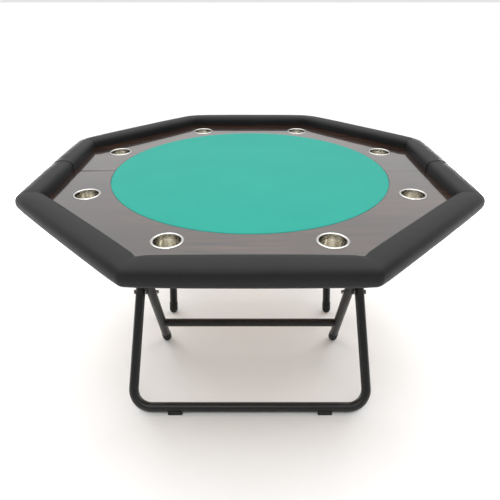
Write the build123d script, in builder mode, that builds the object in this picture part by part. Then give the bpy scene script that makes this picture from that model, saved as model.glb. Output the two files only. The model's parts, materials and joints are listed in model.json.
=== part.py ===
"""Folding eight-seat card table: an octagonal top in two halves, each on its own scissor-leg trestle.

Millimetres. The origin is on the floor under the middle of the table, +Z is up, the seam between
the halves lies along X, and the front half is on the -Y side. Each front piece is modelled once,
and its back twin is its mirror image across the seam.
"""

from build123d import *
import math
import os

os.makedirs("parts", exist_ok=True)

# Driving dimensions of the top
ACROSS_FLATS = 1370.0
RAIL_WIDTH = 73.0
RAIL_TOP = 717.0
RAIL_BOTTOM = 661.0
RAIL_FOOT_RADIUS = 22.0
TRACK_TOP = 684.0
TRACK_THICKNESS = 9.0
DECK_THICKNESS = 12.0
CORE_HEIGHT = 23.0
FOAM_OUTSIDE = 18.0
FOAM_INSIDE = 8.0
LIP_WIDTH = 31.0
SEAM_HALF_GAP = 0.5
FELT_RADIUS = 465.5
FELT_BOARD_THICKNESS = 7.7
FELT_THICKNESS = 2.0
FELT_GAP = 1.0
LIFT_CLEARANCE = 0.3

# Cup holders
CUPS_PER_HALF = 4
CUP_CIRCLE = 541.0
CUP_BORE = 34.5
CUP_WALL = 0.8
CUP_DEPTH = 70.0
CUP_FLANGE = 42.5
CUP_FLANGE_HEIGHT = 2.4
CUP_CORNER = 6.0
CUP_HOLE = 36.0

# Legs: positions are (y, z) on the front half, widths are half the distance between the two legs
TUBE = 15.9
TUBE_WALL = 1.5
HINGE_Y, HINGE_Z = -30.0, 646.0
PIVOT_Y, PIVOT_Z = -235.0, 338.0
FLOOR_BAR_Y, FLOOR_BAR_Z = -448.0, 18.0
INNER_FOOT_Y, INNER_FOOT_Z = -90.0, 15.0
OUTER_TOP_X, OUTER_FLOOR_X = 352.0, 393.0
INNER_X = 335.0
BEND_RADIUS = 60.0
UPPER_ARM = 331.0
CATCH_PIN_FROM_PIVOT = 318.0
CROSSBAR_FROM_PIVOT = 232.0
CROSSBAR_TUBE = 15.0
RUNNING = 0.05
BODY_GAP = 0.3

# Hardware under the deck
BLOCK_X = (-250.0, 250.0)
BLOCK_Y = (-60.0, -4.0)
BLOCK_SCREW_Y = (-52.0, -10.0)
BLOCK_WIDTH = 26.0
BLOCK_BOTTOM = 627.0
CATCH_X = (-303.0, 303.0)
CATCH_FLANGE_X = (-292.0, 292.0)
CATCH_SCREW_Y = (-392.0, -350.0)
CATCH_PLATE_Y = (-408.0, -338.0)
CATCH_PLATE_BOTTOM = 614.0
CATCH_THICKNESS = 3.0
SEAM_FITTING_X = (-430.0, 430.0)
SEAM_FITTING_SCREW_Y = -24.0
SEAM_FITTING_LENGTH = 46.0
SEAM_FITTING_DEPTH = 14.0
SEAM_FITTING_REACH = 34.0

# Fasteners
DOWEL_X = (-580.0, -200.0, 200.0, 580.0)
DOWEL_RADIUS = 4.0
DOWEL_DEPTH = 30.0
DOWEL_REACH = 20.0
BOLT = 4.0
SCREW = 2.0
SCREW_HEAD = 3.9
SCREW_HEAD_HEIGHT = 2.6
SCREW_REACH = 9.0
RAIL_SCREW_REACH = 28.0
RAIL_SCREW_APOTHEM = 628.0
RAIL_SCREW_SPREAD = 150.0
PILOT_CLEARANCE = 0.1

# Levels and outlines worked out from the above
RAIL_OUTER = ACROSS_FLATS / 2
RAIL_INNER = RAIL_OUTER - RAIL_WIDTH
TRACK_BOTTOM = TRACK_TOP - TRACK_THICKNESS
DECK_BOTTOM = TRACK_BOTTOM - DECK_THICKNESS
DECK_EDGE = RAIL_OUTER - FOAM_OUTSIDE
CORE_INNER = RAIL_INNER + FOAM_INSIDE
CORE_TOP = TRACK_BOTTOM + CORE_HEIGHT
CUP_FLOOR = TRACK_TOP - CUP_DEPTH
HALF_TURN = math.tan(math.radians(22.5))
LEG_LENGTH = math.dist((HINGE_Y, HINGE_Z), (FLOOR_BAR_Y, FLOOR_BAR_Z))
PIVOT_SHARE = math.dist((HINGE_Y, HINGE_Z), (PIVOT_Y, PIVOT_Z)) / LEG_LENGTH
OUTER_PIVOT_X = OUTER_TOP_X + (OUTER_FLOOR_X - OUTER_TOP_X) * PIVOT_SHARE
INNER_ARM = math.dist((PIVOT_Y, PIVOT_Z), (INNER_FOOT_Y, INNER_FOOT_Z))
DOWEL_Z = DECK_BOTTOM + DECK_THICKNESS / 2
ALONG_X = (0, 90, 0)
ALONG_Y = (90, 0, 0)


def write(solid, label):
    """Name a finished piece and write its file."""
    solid.label = label
    export_step(solid, f"parts/{label}.step")


def write_pair(solid, name):
    """Write a front piece, and its mirror image across the seam for the back half."""
    write(solid, f"front_{name}")
    write(mirror(solid, about=Plane.XZ), f"back_{name}")


def half_octagon(apothem):
    """Corners of the front half of an octagon, from the seam on the left to the seam on the right."""
    side = apothem * HALF_TURN
    return [
        (-apothem, -SEAM_HALF_GAP),
        (-apothem, -side),
        (-side, -apothem),
        (side, -apothem),
        (apothem, -side),
        (apothem, -SEAM_HALF_GAP),
    ]


def front_cup_centres():
    """Middles of the front half's cup holders, in line with the octagon's corners."""
    angles = [math.radians(-22.5 - 45 * k) for k in range(CUPS_PER_HALF)]
    return [(CUP_CIRCLE * math.cos(a), CUP_CIRCLE * math.sin(a)) for a in angles]


def inner_point(distance):
    """Point (y, z) on the inner leg's line, that far below the pivot, or above it if negative."""
    share = distance / INNER_ARM
    return (
        PIVOT_Y + (INNER_FOOT_Y - PIVOT_Y) * share,
        PIVOT_Z + (INNER_FOOT_Z - PIVOT_Z) * share,
    )


def inner_plane(distance, x):
    """Plane square to the inner leg on that side, facing the foot."""
    y, z = inner_point(distance)
    downwards = (0, INNER_FOOT_Y - PIVOT_Y, INNER_FOOT_Z - PIVOT_Z)
    return Plane(origin=(x, y, z), x_dir=(1, 0, 0), z_dir=downwards)


CUPS = front_cup_centres()
CATCH_PIN_Y, CATCH_PIN_Z = inner_point(-CATCH_PIN_FROM_PIVOT)


def underside_screw_places():
    """Seats (x, y, z) of the short screws that hold the fittings under the deck."""
    places = [(x, y, BLOCK_BOTTOM) for x in BLOCK_X for y in BLOCK_SCREW_Y]
    places += [(x, y, DECK_BOTTOM - CATCH_THICKNESS) for x in CATCH_FLANGE_X for y in CATCH_SCREW_Y]
    places += [(x, SEAM_FITTING_SCREW_Y, DECK_BOTTOM - SEAM_FITTING_DEPTH) for x in SEAM_FITTING_X]
    return places


def rail_screw_places():
    """Two places on each full side of the half octagon, and one on each half side by the seam."""
    places = []
    for angle in (-135, -90, -45):
        out = math.radians(angle)
        for spread in (-RAIL_SCREW_SPREAD, RAIL_SCREW_SPREAD):
            places.append(
                (
                    RAIL_SCREW_APOTHEM * math.cos(out) - spread * math.sin(out),
                    RAIL_SCREW_APOTHEM * math.sin(out) + spread * math.cos(out),
                )
            )
    places += [(side * RAIL_SCREW_APOTHEM, -RAIL_SCREW_SPREAD) for side in (-1, 1)]
    return places


def screws(seats, top):
    """Pan-head screws from below, one at each seat (x, y, z), with their points at the level top."""
    with BuildPart() as batch:
        for x, y, seat in seats:
            rim = SCREW_HEAD - 0.8
            with BuildSketch(Plane(origin=(x, y, seat), x_dir=(1, 0, 0), z_dir=(0, -1, 0))):
                with BuildLine():
                    Polyline(
                        (0, -SCREW_HEAD_HEIGHT),
                        (rim, -SCREW_HEAD_HEIGHT),
                        (SCREW_HEAD, rim - SCREW_HEAD),
                        (SCREW_HEAD, 0),
                        (SCREW, 0),
                        (SCREW, top - seat),
                        (0, top - seat),
                        close=True,
                    )
                make_face()
            revolve(axis=Axis((x, y, seat), (0, 0, 1)))
    return batch.part


# Deck: half of the plywood base, with holes for cups, dowels and screws
with BuildPart() as deck:
    with BuildSketch(Plane.XY.offset(DECK_BOTTOM)):
        with BuildLine():
            Polyline(*half_octagon(DECK_EDGE), close=True)
        make_face()
        with Locations(*CUPS):
            Circle(CUP_HOLE, mode=Mode.SUBTRACT)
        with Locations(*rail_screw_places()):
            Circle(SCREW + PILOT_CLEARANCE, mode=Mode.SUBTRACT)
    extrude(amount=DECK_THICKNESS)
    with Locations(*[(x, -DOWEL_DEPTH / 2, DOWEL_Z) for x in DOWEL_X]):
        Cylinder(DOWEL_RADIUS + RUNNING, DOWEL_DEPTH, rotation=ALONG_Y, mode=Mode.SUBTRACT)
    with BuildSketch(Plane.XY.offset(DECK_BOTTOM)):
        with Locations(*[(x, y) for x, y, _ in underside_screw_places()]):
            Circle(SCREW + PILOT_CLEARANCE)
    extrude(amount=SCREW_REACH + BODY_GAP, mode=Mode.SUBTRACT)
write_pair(deck.part, "deck")

# Racetrack: the veneered ring between the felt and the rail
with BuildPart() as racetrack:
    with BuildSketch(Plane.XY.offset(TRACK_BOTTOM)):
        with BuildLine():
            Polyline(*half_octagon(RAIL_INNER), close=True)
        make_face()
        Circle(FELT_RADIUS + FELT_GAP, mode=Mode.SUBTRACT)
        with Locations(*CUPS):
            Circle(CUP_HOLE, mode=Mode.SUBTRACT)
    extrude(amount=TRACK_THICKNESS)
write_pair(racetrack.part, "racetrack")

# Rail core: the wooden batten that the padding is pulled over
with BuildPart() as rail_core:
    with BuildSketch(Plane.XY.offset(TRACK_BOTTOM)):
        with BuildLine():
            outer = half_octagon(DECK_EDGE)
            inner = half_octagon(CORE_INNER)
            Polyline(*outer, *reversed(inner), close=True)
        make_face()
        with Locations(*rail_screw_places()):
            Circle(SCREW + PILOT_CLEARANCE, mode=Mode.SUBTRACT)
    extrude(amount=CORE_HEIGHT)
write_pair(rail_core.part, "rail_core")

# Rail pad: foam under vinyl, crowned on top, round the outer edge and tucked under the deck
RAIL_SECTION = Plane(origin=(0, -SEAM_HALF_GAP, 0), x_dir=(-1, 0, 0), z_dir=(0, 1, 0))
inner_side = (RAIL_INNER, RAIL_TOP - 16)
inner_crest = (RAIL_INNER + 16, RAIL_TOP - 1.5)
crown = (RAIL_INNER + RAIL_WIDTH / 2, RAIL_TOP)
outer_crest = (RAIL_OUTER - 11, RAIL_TOP - 7)
outer_side = (RAIL_OUTER, RAIL_TOP - 21)
outer_foot = (RAIL_OUTER, RAIL_BOTTOM + RAIL_FOOT_RADIUS)
underside = (RAIL_OUTER - RAIL_FOOT_RADIUS, RAIL_BOTTOM)
with BuildPart() as rail_pad:
    with BuildLine() as rail_route:
        Polyline(*half_octagon(RAIL_OUTER))
    with BuildSketch(RAIL_SECTION):
        with BuildLine():
            TangentArc(inner_side, inner_crest, tangent=(0, 1))
            ThreePointArc(inner_crest, crown, outer_crest)
            TangentArc(outer_side, outer_crest, tangent=(0, 1))
            Line(outer_side, outer_foot)
            TangentArc(outer_foot, underside, tangent=(0, -1))
            Polyline(
                underside,
                (DECK_EDGE - LIP_WIDTH, RAIL_BOTTOM),
                (DECK_EDGE - LIP_WIDTH, DECK_BOTTOM),
                (DECK_EDGE, DECK_BOTTOM),
                (DECK_EDGE, CORE_TOP),
                (CORE_INNER, CORE_TOP),
                (CORE_INNER, TRACK_BOTTOM),
                (RAIL_INNER, TRACK_BOTTOM),
                inner_side,
            )
        make_face()
    sweep(path=rail_route.wires()[0], transition=Transition.RIGHT)
write_pair(rail_pad.part, "rail_pad")

# Cup holders: thin drawn cups with a rolled flange that rests on the racetrack
for number, (cup_x, cup_y) in enumerate(CUPS, start=1):
    with BuildPart() as cup_holder:
        with BuildSketch(Plane(origin=(cup_x, cup_y, 0), x_dir=(1, 0, 0), z_dir=(0, -1, 0))):
            with BuildLine():
                outside = CUP_BORE + CUP_WALL
                mid = 1 - math.sqrt(0.5)
                inside_corner = CUP_CORNER - CUP_WALL
                Line((0, CUP_FLOOR), (outside - CUP_CORNER, CUP_FLOOR))
                ThreePointArc(
                    (outside - CUP_CORNER, CUP_FLOOR),
                    (outside - mid * CUP_CORNER, CUP_FLOOR + mid * CUP_CORNER),
                    (outside, CUP_FLOOR + CUP_CORNER),
                )
                Line((outside, CUP_FLOOR + CUP_CORNER), (outside, TRACK_TOP))
                Line((outside, TRACK_TOP), (CUP_FLANGE, TRACK_TOP))
                ThreePointArc(
                    (CUP_FLANGE, TRACK_TOP),
                    ((CUP_FLANGE + CUP_BORE) / 2, TRACK_TOP + CUP_FLANGE_HEIGHT),
                    (CUP_BORE, TRACK_TOP - CUP_WALL),
                )
                Line((CUP_BORE, TRACK_TOP - CUP_WALL), (CUP_BORE, CUP_FLOOR + CUP_CORNER))
                ThreePointArc(
                    (CUP_BORE, CUP_FLOOR + CUP_CORNER),
                    (CUP_BORE - mid * inside_corner, CUP_FLOOR + CUP_WALL + mid * inside_corner),
                    (CUP_BORE - inside_corner, CUP_FLOOR + CUP_WALL),
                )
                Line((CUP_BORE - inside_corner, CUP_FLOOR + CUP_WALL), (0, CUP_FLOOR + CUP_WALL))
                Line((0, CUP_FLOOR + CUP_WALL), (0, CUP_FLOOR))
            make_face()
        revolve(axis=Axis((cup_x, cup_y, 0), (0, 0, 1)))
    write_pair(cup_holder.part, f"cup_holder_{number}")

# Felt panel: one round board across both halves, with the felt on top
FELT_BOARD_BOTTOM = TRACK_BOTTOM + LIFT_CLEARANCE
FELT_BOTTOM = FELT_BOARD_BOTTOM + FELT_BOARD_THICKNESS
with BuildPart() as felt_board:
    with BuildSketch(Plane.XY.offset(FELT_BOARD_BOTTOM)):
        Circle(FELT_RADIUS)
    extrude(amount=FELT_BOARD_THICKNESS)
write(felt_board.part, "felt_board")

with BuildPart() as felt_cloth:
    with BuildSketch(Plane.XY.offset(FELT_BOTTOM)):
        Circle(FELT_RADIUS)
    extrude(amount=FELT_THICKNESS)
    fillet(felt_cloth.edges().group_by(Axis.Z)[-1], radius=0.6 * FELT_THICKNESS)
write(felt_cloth.part, "felt_cloth")

# Bearing blocks: nylon blocks under the deck that the hinge tube turns in
with BuildPart() as bearing_blocks:
    block_middle = (BLOCK_Y[0] + BLOCK_Y[1]) / 2
    with BuildSketch(Plane.XY.offset(BLOCK_BOTTOM)):
        with Locations(*[(x, block_middle) for x in BLOCK_X]):
            RectangleRounded(BLOCK_WIDTH, BLOCK_Y[1] - BLOCK_Y[0], 3)
    extrude(amount=DECK_BOTTOM - BLOCK_BOTTOM)
    chamfer(bearing_blocks.edges().group_by(Axis.Z)[0], length=2)
    with Locations(*[(x, HINGE_Y, HINGE_Z) for x in BLOCK_X]):
        Cylinder(TUBE + RUNNING, 2 * BLOCK_WIDTH, rotation=ALONG_X, mode=Mode.SUBTRACT)
    with BuildSketch(Plane.XY.offset(BLOCK_BOTTOM)):
        with Locations(*[(x, y) for x in BLOCK_X for y in BLOCK_SCREW_Y]):
            Circle(SCREW + PILOT_CLEARANCE)
    extrude(amount=DECK_BOTTOM - BLOCK_BOTTOM, mode=Mode.SUBTRACT)
write_pair(bearing_blocks.part, "bearing_blocks")

# Hook catches: angle plates under the deck, slotted towards the rail for the catch pins
CATCH_PIN = 4.0
CATCH_SLOT_ABOVE = 6.0
CATCH_SLOT_BELOW = 4.5
CATCH_FLANGE_EDGE = 8.0
with BuildPart() as hook_catches:
    plate_length = CATCH_PLATE_Y[1] - CATCH_PLATE_Y[0]
    plate_middle = (CATCH_PLATE_Y[0] + CATCH_PLATE_Y[1]) / 2
    flange_width = CATCH_X[1] + CATCH_THICKNESS / 2 - CATCH_FLANGE_X[1] + CATCH_FLANGE_EDGE
    for catch_x in CATCH_X:
        outward = math.copysign(1, catch_x)
        flange_x = catch_x + outward * (CATCH_THICKNESS - flange_width) / 2
        plate_height = DECK_BOTTOM - CATCH_PLATE_BOTTOM
        with Locations((catch_x, plate_middle, DECK_BOTTOM - plate_height / 2)):
            Box(CATCH_THICKNESS, plate_length, plate_height)
        with Locations((flange_x, plate_middle, DECK_BOTTOM - CATCH_THICKNESS / 2)):
            Box(flange_width, plate_length, CATCH_THICKNESS)
    with BuildSketch(Plane.YZ.offset(-OUTER_FLOOR_X)):
        slot_top = CATCH_PIN_Z + CATCH_SLOT_ABOVE
        slot_bottom = CATCH_PIN_Z - CATCH_SLOT_BELOW
        slot_middle = (slot_top + slot_bottom) / 2
        slot_end = CATCH_PIN_Y + CATCH_PIN + BODY_GAP
        slot_radius = (slot_top - slot_bottom) / 2
        with BuildLine():
            Line((CATCH_PLATE_Y[0] - 1, slot_top), (slot_end - slot_radius, slot_top))
            ThreePointArc(
                (slot_end - slot_radius, slot_top),
                (slot_end, slot_middle),
                (slot_end - slot_radius, slot_bottom),
            )
            Line((slot_end - slot_radius, slot_bottom), (CATCH_PLATE_Y[0] - 1, slot_bottom))
            Line((CATCH_PLATE_Y[0] - 1, slot_bottom), (CATCH_PLATE_Y[0] - 1, slot_top))
        make_face()
    extrude(amount=2 * OUTER_FLOOR_X, mode=Mode.SUBTRACT)
    with BuildSketch(Plane.XY.offset(DECK_BOTTOM - CATCH_THICKNESS)):
        with Locations(*[(x, y) for x in CATCH_FLANGE_X for y in CATCH_SCREW_Y]):
            Circle(SCREW + PILOT_CLEARANCE)
    extrude(amount=CATCH_THICKNESS, mode=Mode.SUBTRACT)
write_pair(hook_catches.part, "hook_catches")

# Seam catches: magnet housings under the front half, steel keepers under the back half
def seam_fitting():
    """Pair of blocks under the deck, flush with the seam, with a screw hole through each."""
    middle = -SEAM_HALF_GAP - SEAM_FITTING_REACH / 2
    with BuildPart() as fitting:
        with BuildSketch(Plane.XY.offset(DECK_BOTTOM - SEAM_FITTING_DEPTH)):
            with Locations(*[(x, middle) for x in SEAM_FITTING_X]):
                RectangleRounded(SEAM_FITTING_LENGTH, SEAM_FITTING_REACH, 2)
        extrude(amount=SEAM_FITTING_DEPTH)
        chamfer(fitting.edges().group_by(Axis.Z)[0], length=1)
        with BuildSketch(Plane.XY.offset(DECK_BOTTOM - SEAM_FITTING_DEPTH)):
            with Locations(*[(x, SEAM_FITTING_SCREW_Y) for x in SEAM_FITTING_X]):
                Circle(SCREW + PILOT_CLEARANCE)
        extrude(amount=SEAM_FITTING_DEPTH, mode=Mode.SUBTRACT)
    return fitting.part


write(seam_fitting(), "front_seam_magnets")
write(mirror(seam_fitting(), about=Plane.XZ), "back_seam_keepers")

# Seam dowels: steel pins in the front half that enter the back half's deck
with BuildPart() as seam_dowels:
    dowel_length = DOWEL_DEPTH - BODY_GAP + DOWEL_REACH
    with Locations(*[(x, DOWEL_REACH - dowel_length / 2, DOWEL_Z) for x in DOWEL_X]):
        Cylinder(DOWEL_RADIUS, dowel_length, rotation=ALONG_Y)
    chamfer(seam_dowels.edges().group_by(Axis.Y)[-1], length=1)
write(seam_dowels.part, "seam_dowels")

# Bracket screws hold the fittings, and rail screws go through the deck into the rail core
write_pair(screws(underside_screw_places(), DECK_BOTTOM + SCREW_REACH), "bracket_screws")
rail_screw_seats = [(x, y, DECK_BOTTOM) for x, y in rail_screw_places()]
write_pair(screws(rail_screw_seats, DECK_BOTTOM + RAIL_SCREW_REACH), "rail_screws")

# Outer frame: hinge tube, two splayed legs that bend into the floor bar, and the floor bar
BAR_JOIN_X = 300.0
HINGE_TUBE_END = OUTER_TOP_X + TUBE
PLUG_FACE = 2.5
with BuildPart() as hinge_tube:
    with Locations((0, HINGE_Y, HINGE_Z)):
        Cylinder(TUBE, 2 * HINGE_TUBE_END, rotation=ALONG_X)
        Cylinder(TUBE - TUBE_WALL, 2 * HINGE_TUBE_END, rotation=ALONG_X, mode=Mode.SUBTRACT)
write_pair(hinge_tube.part, "hinge_tube")

with BuildPart() as hinge_plugs:
    with Locations(*[(s * (HINGE_TUBE_END + PLUG_FACE / 2), HINGE_Y, HINGE_Z) for s in (-1, 1)]):
        Cylinder(TUBE, PLUG_FACE, rotation=ALONG_X)
    fillet(hinge_plugs.edges().group_by(Axis.X)[0] + hinge_plugs.edges().group_by(Axis.X)[-1], radius=1.5)
    with Locations(*[(s * (HINGE_TUBE_END - 6), HINGE_Y, HINGE_Z) for s in (-1, 1)]):
        Cylinder(TUBE - TUBE_WALL - PILOT_CLEARANCE, 12, rotation=ALONG_X)
write_pair(hinge_plugs.part, "hinge_plugs")

LEG_ROUTE = (
    (OUTER_TOP_X, HINGE_Y, HINGE_Z),
    (OUTER_FLOOR_X, FLOOR_BAR_Y, FLOOR_BAR_Z),
    (BAR_JOIN_X, FLOOR_BAR_Y, FLOOR_BAR_Z),
)
with BuildPart() as outer_leg:
    with BuildLine() as leg_route:
        FilletPolyline(*LEG_ROUTE, radius=BEND_RADIUS)
    leg_start = Vector(*LEG_ROUTE[0])
    leg_direction = Vector(*LEG_ROUTE[1]) - leg_start
    with BuildSketch(Plane(origin=leg_start, x_dir=(1, 0, 0), z_dir=leg_direction)):
        Circle(TUBE)
        Circle(TUBE - TUBE_WALL, mode=Mode.SUBTRACT)
    sweep(path=leg_route.wires()[0])
    with Locations((OUTER_TOP_X, HINGE_Y, HINGE_Z)):
        Cylinder(TUBE + RUNNING, 4 * TUBE, rotation=ALONG_X, mode=Mode.SUBTRACT)
    with Locations((OUTER_PIVOT_X, PIVOT_Y, PIVOT_Z)):
        Cylinder(BOLT + PILOT_CLEARANCE, 4 * TUBE, rotation=ALONG_X, mode=Mode.SUBTRACT)
write_pair(outer_leg.part, "outer_leg_right")
write_pair(mirror(outer_leg.part, about=Plane.YZ), "outer_leg_left")

with BuildPart() as floor_bar:
    with Locations((0, FLOOR_BAR_Y, FLOOR_BAR_Z)):
        Cylinder(TUBE, 2 * BAR_JOIN_X, rotation=ALONG_X)
        Cylinder(TUBE - TUBE_WALL, 2 * BAR_JOIN_X, rotation=ALONG_X, mode=Mode.SUBTRACT)
write_pair(floor_bar.part, "floor_bar")

# Floor glides: rubber feet clipped under the floor bar
GLIDE_X = (-250.0, 250.0)
GLIDE_LENGTH = 48.0
GLIDE_WIDTH = 38.0
with BuildPart() as floor_glides:
    with BuildSketch(Plane.XY):
        with Locations(*[(x, FLOOR_BAR_Y) for x in GLIDE_X]):
            RectangleRounded(GLIDE_LENGTH, GLIDE_WIDTH, 4)
    extrude(amount=FLOOR_BAR_Z)
    with Locations((0, FLOOR_BAR_Y, FLOOR_BAR_Z)):
        Cylinder(TUBE, 2 * BAR_JOIN_X, rotation=ALONG_X, mode=Mode.SUBTRACT)
write_pair(floor_glides.part, "floor_glides")

# Pivot bolts, spacers and nuts: the bolts go through both legs on each side
BOLT_HEAD = 8.0
BOLT_HEAD_HEIGHT = 5.0
NUT_RADIUS = 7.5
NUT_HEIGHT = 7.0
BOLT_END_X = INNER_X - TUBE - BODY_GAP - NUT_HEIGHT - 2
BOLT_HEAD_X = OUTER_PIVOT_X + TUBE + 0.6
SPACER_X = (INNER_X + TUBE + BODY_GAP, OUTER_PIVOT_X - TUBE - 0.6)
with BuildPart() as pivot_bolts:
    for side in (-1, 1):
        bolt_middle = side * (BOLT_END_X + BOLT_HEAD_X) / 2
        with Locations((bolt_middle, PIVOT_Y, PIVOT_Z)):
            Cylinder(BOLT, BOLT_HEAD_X - BOLT_END_X, rotation=ALONG_X)
        with Locations((side * (BOLT_HEAD_X + BOLT_HEAD_HEIGHT / 2), PIVOT_Y, PIVOT_Z)):
            Cylinder(BOLT_HEAD, BOLT_HEAD_HEIGHT, rotation=ALONG_X)
    head_rims = pivot_bolts.edges().group_by(Axis.X)
    fillet(head_rims[0] + head_rims[-1], radius=2)
write_pair(pivot_bolts.part, "pivot_bolts")

with BuildPart() as pivot_spacers:
    for side in (-1, 1):
        with Locations((side * (SPACER_X[0] + SPACER_X[1]) / 2, PIVOT_Y, PIVOT_Z)):
            Cylinder(9, SPACER_X[1] - SPACER_X[0], rotation=ALONG_X)
            Cylinder(BOLT + PILOT_CLEARANCE, 4 * TUBE, rotation=ALONG_X, mode=Mode.SUBTRACT)
write_pair(pivot_spacers.part, "pivot_spacers")

with BuildPart() as pivot_nuts:
    nut_face = INNER_X - TUBE - BODY_GAP
    for side in (-1, 1):
        with BuildSketch(Plane(origin=(side * nut_face, PIVOT_Y, PIVOT_Z), z_dir=(-side, 0, 0))):
            RegularPolygon(NUT_RADIUS, 6)
            Circle(BOLT + RUNNING, mode=Mode.SUBTRACT)
        extrude(amount=NUT_HEIGHT)
write_pair(pivot_nuts.part, "pivot_nuts")

# Inner frame: two straight legs, the crossbar between them, end caps and catch pins
CAP_WALL = 1.5
CAP_SLEEVE = 24.0
FOOT_TUBE_END = INNER_ARM - 6
with BuildPart() as inner_leg:
    with BuildSketch(inner_plane(-UPPER_ARM, INNER_X)):
        Circle(TUBE)
        Circle(TUBE - TUBE_WALL, mode=Mode.SUBTRACT)
    extrude(amount=UPPER_ARM + FOOT_TUBE_END)
    with Locations((INNER_X, PIVOT_Y, PIVOT_Z)):
        Cylinder(BOLT + RUNNING, 4 * TUBE, rotation=ALONG_X, mode=Mode.SUBTRACT)
    with Locations((INNER_X, CATCH_PIN_Y, CATCH_PIN_Z)):
        Cylinder(CATCH_PIN, 4 * TUBE, rotation=ALONG_X, mode=Mode.SUBTRACT)
write_pair(inner_leg.part, "inner_leg_right")
write_pair(mirror(inner_leg.part, about=Plane.YZ), "inner_leg_left")

with BuildPart() as crossbar:
    bar_y, bar_z = inner_point(CROSSBAR_FROM_PIVOT)
    with Locations((0, bar_y, bar_z)):
        Cylinder(CROSSBAR_TUBE, 2 * INNER_X, rotation=ALONG_X)
        Cylinder(CROSSBAR_TUBE - TUBE_WALL, 2 * INNER_X, rotation=ALONG_X, mode=Mode.SUBTRACT)
    for side in (-1, 1):
        with BuildSketch(inner_plane(CROSSBAR_FROM_PIVOT - 2 * TUBE, side * INNER_X)):
            Circle(TUBE + RUNNING)
        extrude(amount=4 * TUBE, mode=Mode.SUBTRACT)
write_pair(crossbar.part, "crossbar")

with BuildPart() as foot_caps:
    for side in (-1, 1):
        with BuildSketch(inner_plane(FOOT_TUBE_END - CAP_SLEEVE, side * INNER_X)):
            Circle(TUBE + CAP_WALL)
        extrude(amount=CAP_SLEEVE + 6)
        with Locations((side * INNER_X, INNER_FOOT_Y, INNER_FOOT_Z)):
            Sphere(TUBE + CAP_WALL)
        with BuildSketch(inner_plane(FOOT_TUBE_END - CAP_SLEEVE, side * INNER_X)):
            Circle(TUBE)
        extrude(amount=CAP_SLEEVE, mode=Mode.SUBTRACT)
    split(bisect_by=Plane.XY, keep=Keep.TOP)
write_pair(foot_caps.part, "foot_caps")

TOP_CAP_SLEEVE = 6.0
TOP_CAP_FACE = 2.0
with BuildPart() as top_caps:
    for side in (-1, 1):
        with BuildSketch(inner_plane(-UPPER_ARM - TOP_CAP_FACE, side * INNER_X)):
            Circle(TUBE + CAP_WALL - 0.5)
        extrude(amount=TOP_CAP_FACE + TOP_CAP_SLEEVE)
        with BuildSketch(inner_plane(-UPPER_ARM, side * INNER_X)):
            Circle(TUBE)
        extrude(amount=TOP_CAP_SLEEVE, mode=Mode.SUBTRACT)
write_pair(top_caps.part, "top_caps")

CATCH_PIN_END = 294.0
with BuildPart() as catch_pins:
    for side in (-1, 1):
        pin_outer = INNER_X + TUBE + 1
        with Locations((side * (CATCH_PIN_END + pin_outer) / 2, CATCH_PIN_Y, CATCH_PIN_Z)):
            Cylinder(CATCH_PIN - PILOT_CLEARANCE / 2, pin_outer - CATCH_PIN_END, rotation=ALONG_X)
write_pair(catch_pins.part, "catch_pins")
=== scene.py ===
"""Looks for the folding octagonal card table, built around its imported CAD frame.

Metres. The origin is on the floor under the middle of the table, +Z is up, the front half is on the
-Y side, and the seam between the halves lies along X.
"""

import json
import math

import bmesh
import bpy
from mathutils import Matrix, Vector, noise


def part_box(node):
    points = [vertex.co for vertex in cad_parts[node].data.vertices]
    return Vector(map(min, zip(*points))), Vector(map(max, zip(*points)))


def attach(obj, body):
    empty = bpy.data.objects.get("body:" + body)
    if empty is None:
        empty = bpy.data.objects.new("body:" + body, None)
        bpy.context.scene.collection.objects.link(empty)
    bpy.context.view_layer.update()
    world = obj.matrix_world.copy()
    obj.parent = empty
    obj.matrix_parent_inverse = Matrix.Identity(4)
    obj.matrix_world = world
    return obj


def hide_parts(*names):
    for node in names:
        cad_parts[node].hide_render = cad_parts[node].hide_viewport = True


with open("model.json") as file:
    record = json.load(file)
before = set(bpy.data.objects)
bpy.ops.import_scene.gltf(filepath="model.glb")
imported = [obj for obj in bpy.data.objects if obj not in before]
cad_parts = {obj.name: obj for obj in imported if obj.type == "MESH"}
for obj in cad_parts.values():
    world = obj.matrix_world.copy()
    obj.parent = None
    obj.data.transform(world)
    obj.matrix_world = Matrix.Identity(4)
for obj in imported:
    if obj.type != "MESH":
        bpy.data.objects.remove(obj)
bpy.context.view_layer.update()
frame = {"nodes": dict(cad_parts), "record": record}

HALVES = {"front": -1, "back": 1}
CORNER_BISECTORS = (-157.5, -112.5, -67.5, -22.5)
HALF_CORNER = 22.5

# Levels and widths of the top, from the frame
RAIL_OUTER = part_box("front_rail_pad")[1][0]
RAIL_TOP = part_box("front_rail_pad")[1][2]
RAIL_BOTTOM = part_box("front_rail_pad")[0][2]
TRACK_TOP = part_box("front_racetrack")[1][2]
TRACK_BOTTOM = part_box("front_racetrack")[0][2]
RAIL_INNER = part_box("front_racetrack")[1][0]
DECK_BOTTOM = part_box("front_deck")[0][2]
DECK_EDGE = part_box("front_deck")[1][0]
FELT_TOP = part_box("felt_cloth")[1][2]
FELT_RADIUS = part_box("felt_cloth")[1][0]
FELT_BOARD_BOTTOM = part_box("felt_board")[0][2]
MM = 0.001


# ---------------------------------------------------------------- node and mesh helpers

RANGE_SOCKETS = ("From Min", "From Max", "To Min", "To Max")

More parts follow.
